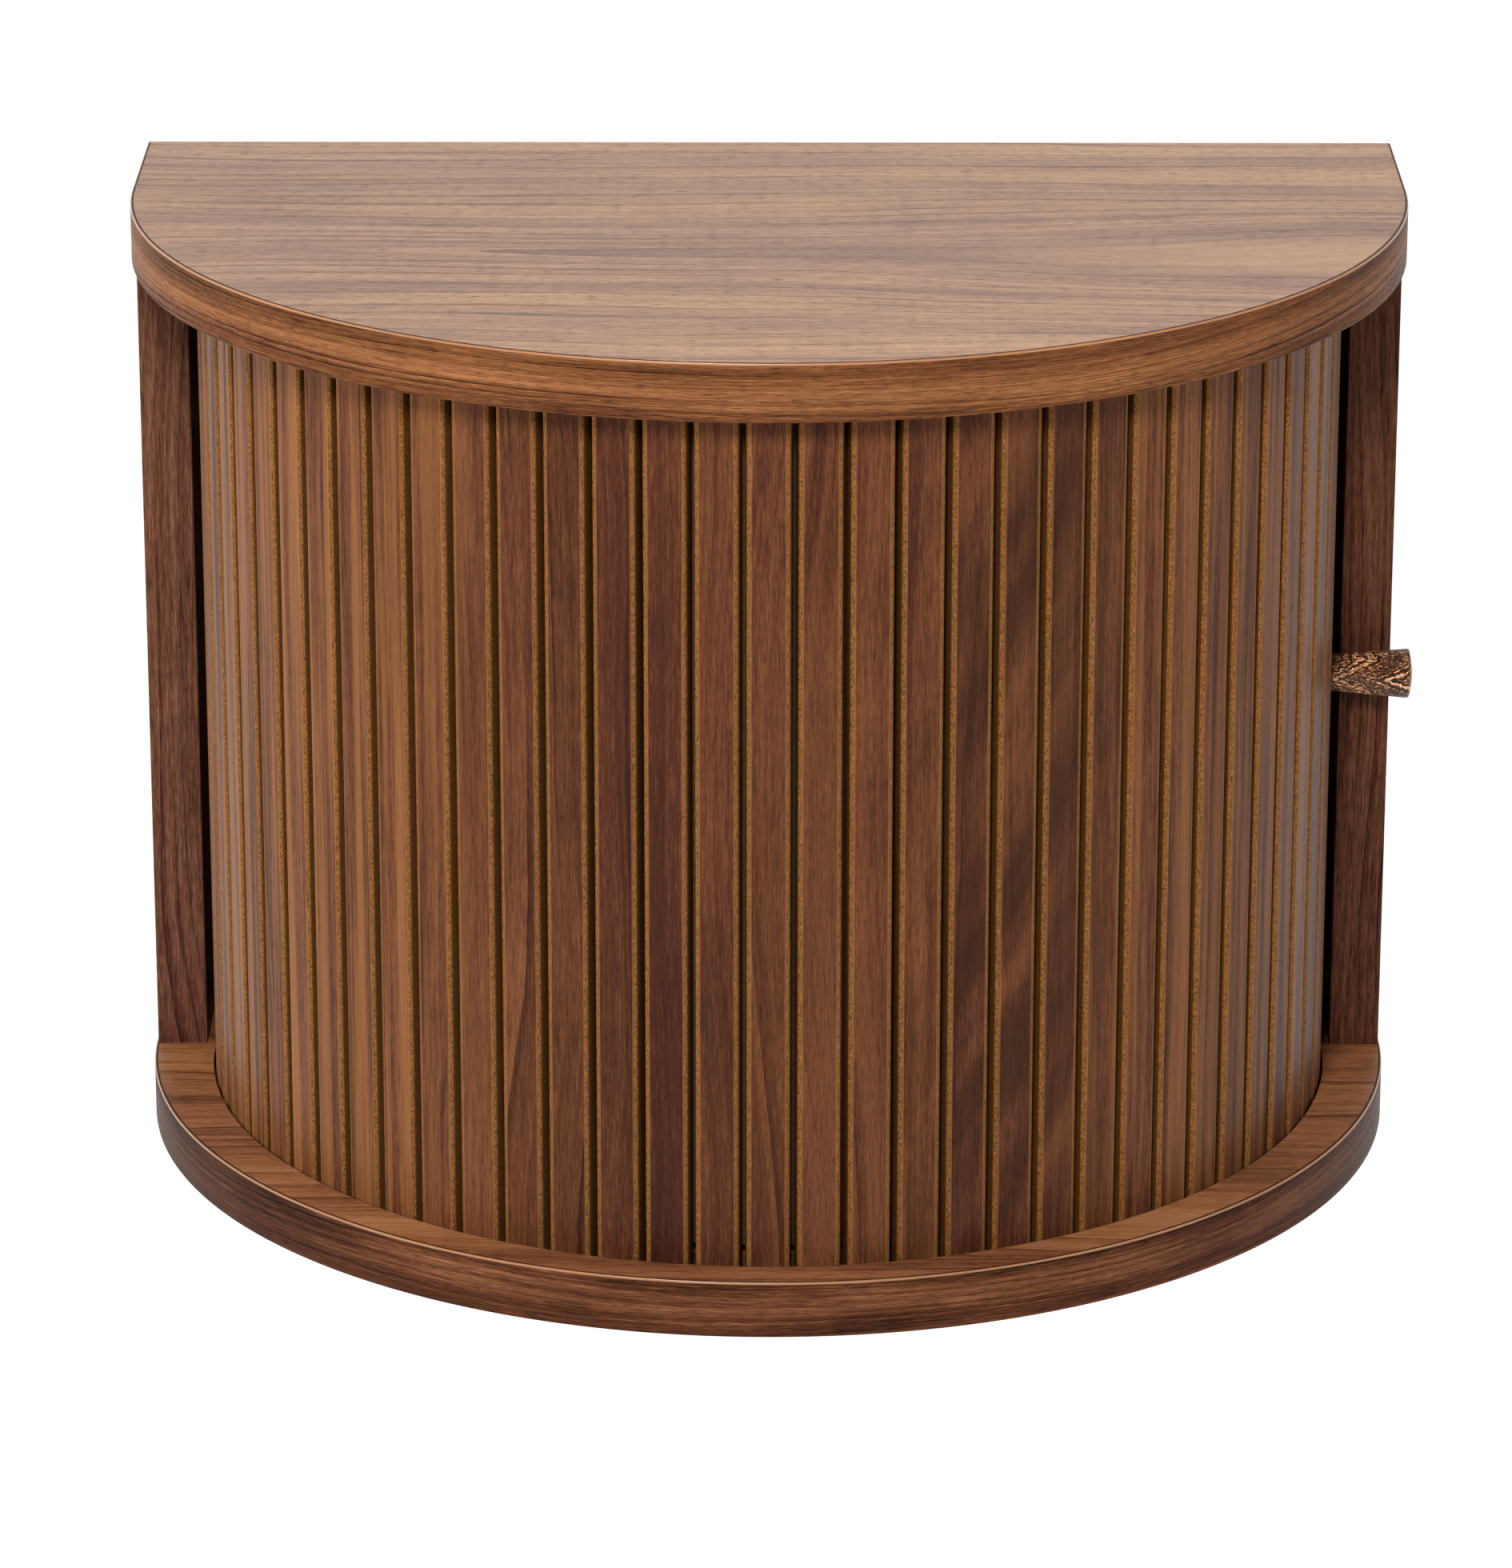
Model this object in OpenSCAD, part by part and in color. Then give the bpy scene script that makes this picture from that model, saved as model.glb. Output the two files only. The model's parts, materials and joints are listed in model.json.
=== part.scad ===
// Half-round floating nightstand with a tambour door.
// Two boards with a round front are joined by two narrow side panels and a back.
// The door is a curtain of slats on canvas. It slides in grooves of the two boards.
// The origin is the centre of the back, on the wall. Front is -Y, right is +X, up is +Z.

/* [Cabinet] */
// Width of the top and bottom boards
cabinet_w = 400; // [360:2:460]
// Depth of the straight part of each board, from the wall to where the curve starts
straight_d = 60; // [54:1:90]
// Height from the underside to the top face
cabinet_h = 305; // [240:1:400]
// Thickness of the top and bottom boards
board_t = 18; // [16:0.5:25]
// Thickness of the edge banding
band_t = 1; // [0.6:0.1:2]
// Bevel on the outer corners of the banding
band_bevel = 0.5; // [0.2:0.1:0.8]

/* [Side panels and backs] */
// Thickness of the side panels
side_t = 16; // [15:0.5:19]
// Distance of the side panels' outer faces from the sides of the boards
side_inset = 0.7; // [0.3:0.1:3]
// Distance of the side panels' front edges behind the door's centre line
side_setback = 5; // [2:0.5:10]
// Thickness of the back panel
back_t = 10; // [9:0.5:14]
// Thickness of the false back that hides the stored curtain
false_back_t = 3; // [2.5:0.1:5]
// Clear space between the track's back run and the false back
false_back_clear = 3.2; // [2:0.1:8]
// Depth of the grooves that hold the false back
false_back_groove = 3; // [2:0.5:5]

/* [Door] */
// Number of slats
slat_count = 37; // [33:1:40]
// Thickness of a slat
slat_t = 7.5; // [6:0.25:9]
// Width of the bevel on each side of a slat's face
slat_bevel_w = 1.7; // [1:0.1:2.5]
// Depth of the bevel on each side of a slat's face
slat_bevel_d = 2; // [1:0.1:3]
// Slit between two slats, where their bevels end
slat_slit = 1.4; // [1:0.1:2.5]
// Gap between the door's face and the side panels
door_side_gap = 3.8; // [2.5:0.1:6]
// How far the boards reach past the door at the front
front_overhang = 13.5; // [10:0.5:18]
// How far each end of the closed door runs on past the door's centre line
door_tuck = 2.3; // [1:0.1:3]
// Thickness of the canvas that the slats are glued to
canvas_t = 0.6; // [0.4:0.1:1]
// Distance of the canvas from the boards
canvas_margin = 3.5; // [2:0.5:8]

/* [Track] */
// Depth of the track grooves
track_depth = 6; // [5:0.5:8]
// Play between a slat and the outer wall of the track
track_play_out = 0.9; // [0.5:0.1:1.5]
// Play between a slat and the inner wall of the track
track_play_in = 1; // [0.6:0.1:1.5]
// Radius of the track's middle line where it turns into the back run
corner_r = 30; // [26:1:34]
// Wood left between the track's back run and the back panel
run_wall = 1.5; // [1:0.1:3]
// Distance of the back run's end from the right side panel
run_end_gap = 16; // [12:1:30]
// Gap under the slats, above the floor of the lower groove
slat_foot_gap = 0.3; // [0.2:0.1:0.5]
// Gap over the slats, below the end of the upper groove
slat_head_gap = 1; // [0.5:0.1:2]

/* [Knob] */
// Height of the knob over the middle of the door
knob_z = -3; // [-90:1:90]
// Length of the knob from the slat to its end
knob_l = 26; // [18:0.5:35]
// Diameter of the knob at the slat
knob_base_d = 11.6; // [9:0.1:13]
// Diameter of the knob at its outer end
knob_end_d = 15.8; // [12:0.1:22]
// Rise of the knob's slightly domed end
knob_dome = 1.2; // [0.5:0.1:2.5]
// Thread diameter of the knob screw
knob_screw_d = 4; // [3:0.5:5]
// Head diameter of the knob screw
knob_head_d = 8; // [7:0.5:11]
// Head height of the knob screw
knob_head_h = 2.4; // [1.5:0.1:3]
// Length of the knob screw inside the knob
knob_screw_bite = 15; // [10:0.5:16]

/* [Joints of the boards] */
// Diameter of the dowels in the side panels
dowel_d = 8; // [6:1:8]
// Diameter of the dowels in the back panel
back_dowel_d = 6; // [5:1:6]
// Length of a dowel in the top or bottom board
dowel_in_board = 11; // [8:0.5:12]
// Length of a dowel in the side panel or the back panel
dowel_in_panel = 18; // [12:1:24]
// Distance of the side dowels from the wall
dowel_y = 18; // [14:1:22]
// Distance of the cam bolts from the front edges of the side panels
cam_setback = 17; // [14:1:20]
// Distance of the back panel's dowels from the middle
back_dowel_x = 50; // [30:5:60]
// Diameter of a cam lock
cam_d = 15; // [12:1:15]
// Depth of a cam lock
cam_h = 12; // [10:0.5:13]
// Distance of a cam's centre from the board
cam_reach = 24; // [20:1:34]
// Diameter of a cam bolt's shank
cam_bolt_d = 6; // [5:0.5:7]
// Clearance round dowels, cams, bolts and screws
fit_gap = 0.15; // [0.1:0.05:0.3]

/* [Wall hangers] */
// Distance between the two keyholes
hanger_spacing = 240; // [220:10:280]
// Distance of the hanger plates below the top board
hanger_drop = 10; // [4:1:40]
// Width of a hanger plate
hanger_w = 40; // [36:1:50]
// Height of a hanger plate
hanger_h = 52; // [46:1:70]
// Thickness of a hanger plate
hanger_t = 2; // [1.5:0.1:2.5]
// Diameter of the keyhole's round opening
keyhole_d = 10; // [8:0.5:12]
// Width of the keyhole's slot
keyhole_slot_w = 5; // [4:0.5:6]
// Length of the keyhole's slot above the round opening
keyhole_slot_l = 12; // [8:0.5:14]
// Depth of the pocket behind a keyhole, for the head of the wall screw
keyhole_pocket = 5; // [4:0.5:6]
// Diameter of the screws that hold a hanger plate
hanger_screw_d = 3.5; // [3:0.5:4]
// Length of the screws that hold a hanger plate
hanger_screw_l = 8; // [6:0.5:8.5]
// Distance of those screws from the ends of the plate
hanger_screw_edge = 7; // [5:0.5:8]
// Room round the keyhole in the pocket behind it
keyhole_room = 2; // [1:0.5:3]
// Wood of a hanger block beside and below its plate
hanger_block_rim = 12; // [6:1:16]

/* [Stops] */
// Thickness of the felt pads that stop the closing door
stop_t = 3; // [2:0.5:5]
// Gap between the closed door and the felt pads
stop_gap = 0.3; // [0.2:0.1:0.8]
// Gap between a felt pad and the side walls of the track
stop_side_gap = 0.4; // [0.2:0.1:0.8]

/* [Hidden] */

$fn = 96;
// How far a cutting solid runs past the face that it cuts
over = 1;
// Angle between two points of the track's curves
arc_step = 1.5;
// Thickness of the glue between the slats and the canvas
glue_gap = 0.1;
// Width and depth of the slots that a screwdriver turns
driver_slot_w = 1;
driver_slot_d = 1;

walnut = "#7b5235";
walnut_edge = "#8f6038";
walnut_slat = "#6f4830";
birch = "#c9a777";
board_core = "#a98660";
black_cloth = "#232120";
zinc = "#a8a8a6";
steel = "#8d8f92";
felt = "#4a453f";

board_r = cabinet_w / 2;
inner_h = cabinet_h - 2 * board_t;
side_out = board_r - side_inset;
side_in = side_out - side_t;
door_r = side_in - door_side_gap;
door_c = straight_d + board_r - front_overhang - door_r;
side_d = door_c - side_setback;
cam_y = side_d - cam_setback;

door_half = 90 + arc_angle(door_tuck, door_r);
slat_a = 2 * door_half / slat_count;
slat_w = 2 * (door_r - slat_bevel_d) * sin(slat_a / 2) - slat_slit;
slat_face_w = slat_w - 2 * slat_bevel_w;
slat_low = -inner_h / 2 - track_depth + slat_foot_gap;
slat_high = inner_h / 2 + track_depth - slat_head_gap;
lead_a = door_half - slat_a / 2;

track_ro = door_r + track_play_out;
track_ri = door_r - slat_t - track_play_in;
track_rc = (track_ro + track_ri) / 2;
track_w = track_ro - track_ri;
run_back = back_t + run_wall;
run_front = run_back + track_w;
corner_in = track_rc - corner_r;
corner_a = asin((door_c - run_back - track_w / 2 - corner_r) / corner_in);
corner_x = -corner_in * cos(corner_a);
corner_y = -door_c + corner_in * sin(corner_a);
sweep_a = 90 + asin((door_c - run_back) / track_ro);
stop_a = door_half + arc_angle(stop_gap, door_r);
track_end_a = stop_a + arc_angle(stop_t, door_r);
run_end = side_in - run_end_gap;

false_back_y = run_front + false_back_clear;
false_back_left = corner_x;

canvas_ro = door_r - slat_t - glue_gap;
hanger_z = inner_h / 2 - hanger_drop - hanger_h / 2;
keyhole_z = hanger_z - keyhole_slot_l / 2;
hanger_screw_z = hanger_h / 2 - hanger_screw_edge;
hanger_block_in = hanger_spacing / 2 - hanger_w / 2 - hanger_block_rim;
hanger_block_low = hanger_z - hanger_h / 2 - hanger_block_rim;
pocket_w = keyhole_d + 2 * keyhole_room;
cam_bolt_hole = cam_bolt_d + 2 * fit_gap;

function arc_angle(length, radius) = length / radius * 180 / PI;
function arc_points(centre, r, from, to) = let (n = ceil(abs(to - from) / arc_step))
    [for (i = [0 : n]) let (a = from + (to - from) * i / n) centre + r * [cos(a), sin(a)]];
function slat_name(i) = str("slat_", i < 9 ? "0" : "", i + 1);
function slat_turn(i) = (i - (slat_count - 1) / 2) * slat_a;

// Outline of a board: straight sides at the wall, then a half circle. grow moves it outwards.
module board_outline(grow = 0) {
    r = board_r + grow;
    translate([-r, -straight_d]) square([2 * r, straight_d]);
    translate([0, -straight_d]) intersection() {
        circle(r = r, $fn = 180);
        translate([-r, -r]) square([2 * r, r]);
    }
}

// Places a piece at the top and at the bottom.
module top_and_bottom() {
    children();
    mirror([0, 0, 1]) children();
}

// Places a piece on the right and on the left.
module right_and_left() {
    children();
    mirror([1, 0, 0]) children();
}

// Places a piece on the door's face, turned by a from the front, with -Y pointing outwards.
module on_door(a) {
    translate([0, -door_c, 0]) rotate([0, 0, a]) translate([0, -door_r, 0]) children();
}

// Plan of the track: the half circle, a corner that is widened to a pocket so that the slats can turn,
// and the run along the back where the open curtain is stored.
module track_plan() {
    right_end = track_end_a - 90;
    polygon(concat(
        arc_points([0, -door_c], track_ro, right_end, -90 - sweep_a),
        [[run_end, -run_back], [run_end, -run_front]],
        arc_points([corner_x, corner_y], corner_r - track_w / 2, 90, 180 - corner_a),
        arc_points([0, -door_c], track_ri, -180 - corner_a, right_end)));
}

// Groove that the slats run in, cut up into the underside of the top board.
module track_groove() {
    translate([0, 0, inner_h / 2 - over]) linear_extrude(track_depth + over) track_plan();
}

// Board without its banding, drawn as the top one. The bottom board is its mirror image.
module board_core_panel() {
    difference() {
        translate([0, 0, inner_h / 2]) linear_extrude(board_t) board_outline(-band_t);
        track_groove();
        translate([false_back_left - fit_gap, -false_back_y - false_back_t - fit_gap, inner_h / 2 - over])
            cube([side_in - false_back_left + fit_gap, false_back_t + 2 * fit_gap, false_back_groove + over]);
        right_and_left() {
            translate([side_out - side_t / 2, -dowel_y, inner_h / 2 - over])
                cylinder(d = dowel_d + 2 * fit_gap, h = dowel_in_board + fit_gap + over);
            translate([side_out - side_t / 2, -cam_y, inner_h / 2 - over])
                cylinder(d = cam_bolt_hole, h = dowel_in_board + fit_gap + over);
            translate([back_dowel_x, -back_t / 2, inner_h / 2 - over])
                cylinder(d = back_dowel_d + 2 * fit_gap, h = dowel_in_board + fit_gap + over);
        }
    }
}

// Section of the banding: its back at x 0, its face at x band_t, both outer corners bevelled.
module band_section() {
    polygon([
        [0, 0], [band_t - band_bevel, 0], [band_t, band_bevel],
        [band_t, board_t - band_bevel], [band_t - band_bevel, board_t], [0, board_t]]);
}

// Banding of a board: one strip along the left side, round the front and along the right side.
module board_band() {
    translate([0, 0, inner_h / 2]) {
        translate([0, -straight_d, 0]) rotate([0, 0, 180]) rotate_extrude(angle = 180, $fn = 180)
            translate([board_r - band_t, 0]) band_section();
        right_and_left()
            translate([board_r - band_t, 0, 0]) rotate([90, 0, 0])
            linear_extrude(straight_d) band_section();
    }
}

module top_panel() {
    color(walnut) board_core_panel();
}

module bottom_panel() {
    color(walnut) mirror([0, 0, 1]) board_core_panel();
}

module top_edge_band() {
    color(walnut_edge) board_band();
}

module bottom_edge_band() {
    color(walnut_edge) mirror([0, 0, 1]) board_band();
}

// Right side panel. Its front edge carries a strip of banding of its own.
module side_panel() {
    difference() {
        translate([side_in, -side_d + band_t, -inner_h / 2]) cube([side_t, side_d - band_t, inner_h]);
        top_and_bottom() {
            translate([side_out - side_t / 2, -dowel_y, inner_h / 2 - dowel_in_panel - fit_gap])
                cylinder(d = dowel_d + 2 * fit_gap, h = dowel_in_panel + fit_gap + over);
            translate([side_out - side_t / 2, -cam_y, inner_h / 2 - cam_reach])
                cylinder(d = cam_bolt_hole, h = cam_reach + over);
            translate([side_in - over, -cam_y, inner_h / 2 - cam_reach]) rotate([0, 90, 0])
                cylinder(d = cam_d + 2 * fit_gap, h = cam_h + fit_gap + over);
        }
    }
}

module side_panel_right() {
    color(walnut) side_panel();
}

module side_panel_left() {
    color(walnut) mirror([1, 0, 0]) side_panel();
}

module side_band() {
    translate([side_in, -side_d, -inner_h / 2]) cube([side_t, band_t, inner_h]);
}

module side_band_right() {
    color(walnut_edge) side_band();
}

module side_band_left() {
    color(walnut_edge) mirror([1, 0, 0]) side_band();
}

// Structural back between the side panels. Its upper corners leave room for the hanger blocks.
module back_panel() {
    color(board_core) difference() {
        translate([-side_in, -back_t, -inner_h / 2]) cube([2 * side_in, back_t, inner_h]);
        right_and_left()
            translate([hanger_block_in, -back_t - over, hanger_block_low])
            cube([side_in - hanger_block_in + over, back_t + 2 * over, inner_h / 2 - hanger_block_low + over]);
        top_and_bottom() right_and_left()
            translate([back_dowel_x, -back_t / 2, inner_h / 2 - dowel_in_panel - fit_gap])
            cylinder(d = back_dowel_d + 2 * fit_gap, h = dowel_in_panel + fit_gap + over);
    }
}

// Solid block glued into an upper corner of the back. It holds the hanger plate, let in flush,
// and has a pocket behind the keyhole.
module hanger_block() {
    difference() {
        translate([hanger_block_in, -back_t, hanger_block_low])
            cube([side_in - hanger_block_in, back_t, inner_h / 2 - hanger_block_low]);
        translate([hanger_spacing / 2, 0, hanger_z]) {
            translate([-hanger_w / 2 - fit_gap, -hanger_t, -hanger_h / 2 - fit_gap])
                cube([hanger_w + 2 * fit_gap, hanger_t + over, hanger_h + 2 * fit_gap]);
            for (s = [-1, 1])
                translate([0, over, s * hanger_screw_z]) rotate([90, 0, 0])
                cylinder(d = hanger_screw_d + 2 * fit_gap, h = hanger_screw_l + fit_gap + over);
        }
        translate([hanger_spacing / 2 - pocket_w / 2, -hanger_t - keyhole_pocket, keyhole_z - pocket_w / 2])
            cube([pocket_w, keyhole_pocket + over, keyhole_slot_l + pocket_w]);
    }
}

module hanger_block_right() {
    color(birch) hanger_block();
}

module hanger_block_left() {
    color(birch) mirror([1, 0, 0]) hanger_block();
}

// Thin panel in front of the track's back run. It sits in a groove of each board.
module false_back() {
    color(walnut) translate([false_back_left, -false_back_y - false_back_t, 0])
        translate([0, 0, -inner_h / 2 - false_back_groove + fit_gap])
        cube([side_in - false_back_left - fit_gap, false_back_t, inner_h + 2 * (false_back_groove - fit_gap)]);
}

// Fluted beech dowels: one at each end of each side panel, four in the back panel.
module panel_dowels() {
    color(birch) top_and_bottom() right_and_left() {
        translate([side_out - side_t / 2, -dowel_y, inner_h / 2 - dowel_in_panel])
            dowel(dowel_d);
        translate([back_dowel_x, -back_t / 2, inner_h / 2 - dowel_in_panel])
            dowel(back_dowel_d);
    }
}

module dowel(d) {
    tip = d / 8;
    length = dowel_in_panel + dowel_in_board;
    rotate_extrude() polygon([
        [0, 0], [d / 2 - tip, 0], [d / 2, tip],
        [d / 2, length - tip], [d / 2 - tip, length], [0, length]]);
}

// Turning locks in the inner faces of the side panels. Each grips the head of a cam bolt.
module cam_locks() {
    color(zinc) top_and_bottom() right_and_left()
        translate([side_in, -cam_y, inner_h / 2 - cam_reach]) difference() {
            rotate([0, 90, 0]) cylinder(d = cam_d, h = cam_h);
            translate([side_t / 2, 0, 0]) cylinder(d = cam_bolt_hole, h = cam_d);
            translate([side_t / 2, 0, 0]) sphere(d = cam_bolt_hole + 1);
            translate([-over, -cam_d / 3, -driver_slot_w / 2])
                cube([over + driver_slot_d, 2 * cam_d / 3, driver_slot_w]);
        }
}

// Steel bolts screwed into the boards, with a ball head inside each cam lock.
module cam_bolts() {
    color(steel) top_and_bottom() right_and_left()
        translate([side_out - side_t / 2, -cam_y, inner_h / 2 - cam_reach]) {
            sphere(d = cam_bolt_d);
            cylinder(d = cam_bolt_d - 2, h = cam_reach);
            translate([0, 0, cam_reach - cam_d / 3])
                cylinder(d = cam_bolt_d, h = dowel_in_board + cam_d / 3);
        }
}

// Steel plate let flush into the back. The keyhole drops over the head of a screw in the wall.
module hanger_plate() {
    translate([hanger_spacing / 2, 0, hanger_z]) difference() {
        translate([-hanger_w / 2, -hanger_t, -hanger_h / 2]) cube([hanger_w, hanger_t, hanger_h]);
        translate([0, over, keyhole_z - hanger_z]) rotate([90, 0, 0])
            cylinder(d = keyhole_d, h = hanger_t + 2 * over);
        translate([-keyhole_slot_w / 2, -hanger_t - over, keyhole_z - hanger_z])
            cube([keyhole_slot_w, hanger_t + 2 * over, keyhole_slot_l]);
        translate([0, over, keyhole_z - hanger_z + keyhole_slot_l]) rotate([90, 0, 0])
            cylinder(d = keyhole_slot_w, h = hanger_t + 2 * over);
        for (s = [-1, 1]) translate([0, 0, s * hanger_screw_z]) {
            translate([0, over, 0]) rotate([90, 0, 0])
                cylinder(d = hanger_screw_d + 2 * fit_gap, h = hanger_t + 2 * over);
            rotate([90, 0, 0])
                cylinder(d1 = 2 * hanger_screw_d + 2 * fit_gap, d2 = hanger_screw_d + 2 * fit_gap,
                    h = hanger_screw_d / 2);
        }
    }
}

module hanger_plate_right() {
    color(zinc) hanger_plate();
}

module hanger_plate_left() {
    color(zinc) mirror([1, 0, 0]) hanger_plate();
}

// Four countersunk wood screws, two for each hanger plate.
module hanger_screws() {
    head = 0.2;
    color(steel) right_and_left() for (s = [-1, 1])
        translate([hanger_spacing / 2, 0, hanger_z + s * hanger_screw_z]) rotate([90, 0, 0])
        rotate_extrude() polygon([
            [0, head], [hanger_screw_d - head, head], [hanger_screw_d / 2, hanger_screw_d / 2],
            [hanger_screw_d / 2, hanger_screw_l - hanger_screw_d / 2],
            [0, hanger_screw_l]]);
}

// Felt pads at the right end of both tracks. They meet the lead slat when the door closes.
module stop_pads() {
    color(felt) top_and_bottom() on_door(track_end_a)
        translate([-stop_t, stop_side_gap - track_play_out, inner_h / 2])
        cube([stop_t, track_w - 2 * stop_side_gap, track_depth - fit_gap]);
}

// One slat: a flat face between two bevels, with plain ends that run in the tracks.
module slat(i) {
    last = i == slat_count - 1;
    color(walnut_slat) on_door(slat_turn(i)) difference() {
        translate([0, 0, slat_low]) linear_extrude(slat_high - slat_low) polygon([
            [-slat_face_w / 2, 0], [slat_face_w / 2, 0], [slat_w / 2, slat_bevel_d],
            [slat_w / 2, slat_t], [-slat_w / 2, slat_t], [-slat_w / 2, slat_bevel_d]]);
        if (last) translate([0, -over, knob_z]) rotate([-90, 0, 0])
            cylinder(d = knob_screw_d + 2 * fit_gap, h = slat_t + 2 * over);
    }
}

// Canvas behind the slats. It makes the curtain bend like a hinge between two slats.
module canvas_backing() {
    half = door_half - arc_angle(slat_slit, door_r);
    color(black_cloth) difference() {
        translate([0, -door_c, -inner_h / 2 + canvas_margin]) rotate([0, 0, -90 - half])
            rotate_extrude(angle = 2 * half, $fn = 180)
            translate([canvas_ro - canvas_t, 0]) square([canvas_t, inner_h - 2 * canvas_margin]);
        on_door(lead_a) translate([0, 0, knob_z]) rotate([-90, 0, 0])
            cylinder(d = knob_head_d + 2 * fit_gap, h = slat_t + 2 * canvas_t + over);
    }
}

// Turned knob on the lead slat, wider at its outer end.
module knob() {
    dome_r = (pow(knob_end_d / 2, 2) + pow(knob_dome, 2)) / (2 * knob_dome);
    color(walnut_edge) on_door(lead_a) translate([0, 0, knob_z]) rotate([90, 0, 0]) difference() {
        rotate_extrude() intersection() {
            polygon([[0, 0], [knob_base_d / 2, 0], [knob_end_d / 2, knob_l - knob_dome],
                [knob_end_d / 2, knob_l], [0, knob_l]]);
            translate([0, knob_l - dome_r]) circle(r = dome_r, $fn = 360);
        }
        translate([0, 0, -over])
            cylinder(d = knob_screw_d + 2 * fit_gap, h = knob_screw_bite + fit_gap + over);
    }
}

// Machine screw from inside the door, through the lead slat into the knob.
module knob_screw() {
    color(steel) on_door(lead_a) translate([0, 0, knob_z]) rotate([90, 0, 0]) {
        translate([0, 0, -slat_t]) cylinder(d = knob_screw_d, h = slat_t + knob_screw_bite);
        translate([0, 0, -slat_t - knob_head_h]) difference() {
            cylinder(d = knob_head_d, h = knob_head_h);
            translate([-knob_head_d / 2, -driver_slot_w / 2, -over])
                cube([knob_head_d, driver_slot_w, over + driver_slot_d]);
        }
    }
}

top_panel();
top_edge_band();
bottom_panel();
bottom_edge_band();
side_panel_left();
side_panel_right();
side_band_left();
side_band_right();
back_panel();
hanger_block_left();
hanger_block_right();
false_back();
panel_dowels();
cam_locks();
cam_bolts();
hanger_plate_left();
hanger_plate_right();
hanger_screws();
stop_pads();
for (i = [0 : slat_count - 1]) slat(i);
canvas_backing();
knob();
knob_screw();
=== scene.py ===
"""Looks of the half-round floating nightstand: walnut veneer, a curtain of slats and a turned knob."""
import json
import math

import bmesh
import bpy
from mathutils import Matrix, Vector


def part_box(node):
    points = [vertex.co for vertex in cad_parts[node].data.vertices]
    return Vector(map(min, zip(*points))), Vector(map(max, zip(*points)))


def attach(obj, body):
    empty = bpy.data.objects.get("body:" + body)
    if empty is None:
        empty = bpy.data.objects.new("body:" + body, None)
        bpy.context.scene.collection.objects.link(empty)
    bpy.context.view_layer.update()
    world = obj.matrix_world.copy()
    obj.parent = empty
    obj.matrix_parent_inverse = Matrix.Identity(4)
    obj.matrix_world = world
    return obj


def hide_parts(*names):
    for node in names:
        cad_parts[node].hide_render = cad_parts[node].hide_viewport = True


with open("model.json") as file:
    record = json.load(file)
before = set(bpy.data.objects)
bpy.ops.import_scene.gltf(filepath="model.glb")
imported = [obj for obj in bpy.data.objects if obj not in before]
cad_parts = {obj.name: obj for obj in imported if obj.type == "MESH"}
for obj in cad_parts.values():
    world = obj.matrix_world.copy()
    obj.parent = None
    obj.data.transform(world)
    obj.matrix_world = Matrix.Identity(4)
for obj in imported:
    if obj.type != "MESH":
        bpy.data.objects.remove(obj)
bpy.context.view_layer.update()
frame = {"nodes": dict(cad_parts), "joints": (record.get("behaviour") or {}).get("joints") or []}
MM = 0.001

# The camera stands where the photographer stood: in front, above the cabinet, looking down at 19 degrees.
# A long lens keeps the sides nearly upright. The small shifts are the photograph's own framing.
eye = Vector((0.0, -2.2416, 0.7164))
look_down = math.radians(19.26)
lean = 0.0013
camera_data = bpy.data.cameras.new("photographer")
camera_data.sensor_width = 36
camera_data.lens = 164.2
camera_data.shift_x = -0.008
camera_data.shift_y = 0.001
camera = bpy.data.objects.new("photographer", camera_data)
camera.matrix_world = (
    Matrix.Translation(eye)
    @ Matrix.Rotation(math.pi / 2 - look_down, 4, "X")
    @ Matrix.Rotation(lean, 4, "Z")
)
bpy.context.scene.collection.objects.link(camera)
bpy.context.scene.camera = camera

# Top and bottom boards: 18 mm chipboard, veneered with walnut whose grain runs from side to side.
# The grooves for the curtain and the holes for the dowels show the raw board.
# Both are the construction's own solids, with the veneer as their finish.


class Socket:
    """An output of a node. Arithmetic on sockets adds Math nodes to their tree."""

    def __init__(self, tree, link):
        self.tree = tree
        self.link = link

    def math(self, operation, *others):
        """This value put through a Math node, with others as its further values."""
        return self.tree.maths(operation, self, *others)

    def __add__(self, other):
        return self.math("ADD", other)

    def __sub__(self, other):
        return self.math("SUBTRACT", other)

    def __mul__(self, other):
        return self.math("MULTIPLY", other)

    def __truediv__(self, other):
        return self.math("DIVIDE", other)

    def __rsub__(self, other):
        return self.tree.maths("SUBTRACT", other, self)

    __radd__ = __add__
    __rmul__ = __mul__

    def size(self):
        return self.math("ABSOLUTE")

    def above(self, start, width):
        """0 up to start, 1 from start + width, and a straight rise in between."""
        return self.tree.node("ShaderNodeMapRange", {}, {0: self, 1: start, 2: start + width})

    def below(self, start, width):
        """1 up to start, 0 from start + width."""
        return 1 - self.above(start, width)


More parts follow.
